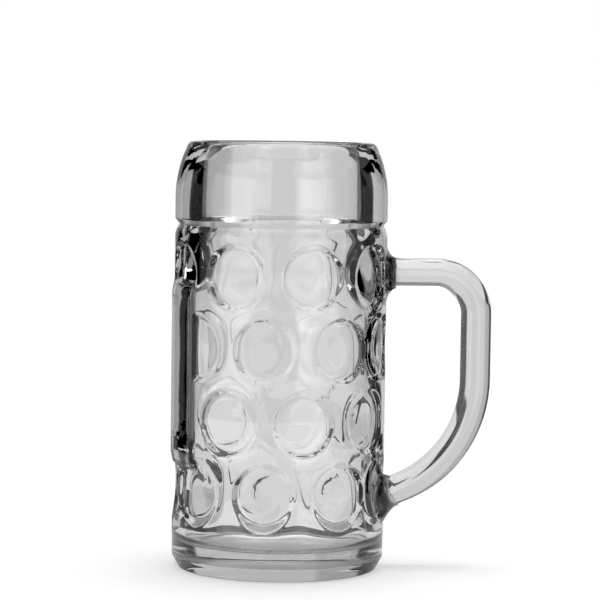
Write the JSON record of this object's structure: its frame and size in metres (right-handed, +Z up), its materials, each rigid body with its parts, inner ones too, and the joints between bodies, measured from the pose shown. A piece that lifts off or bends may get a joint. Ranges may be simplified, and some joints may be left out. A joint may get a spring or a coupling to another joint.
{
  "type": "dimpled glass beer mug",
  "caption": "Tall clear glass beer mug with staggered rows of round dimples, a smooth drinking band, a plain decor field and a bent rod handle on flared roots.",
  "frame": {"origin": "centre of the foot ring, on the surface that the mug stands on", "axes": "+Z up along the mug's axis, +X towards the handle, the decor field faces -X"},
  "size_m": [0.1517, 0.1, 0.201],
  "materials": {
    "clear_glass": "fire-polished clear glass, neutral in colour"
  },
  "bodies": {
    "root": {"mug_body": "clear_glass", "handle": "clear_glass"}
  },
  "joints": []
}
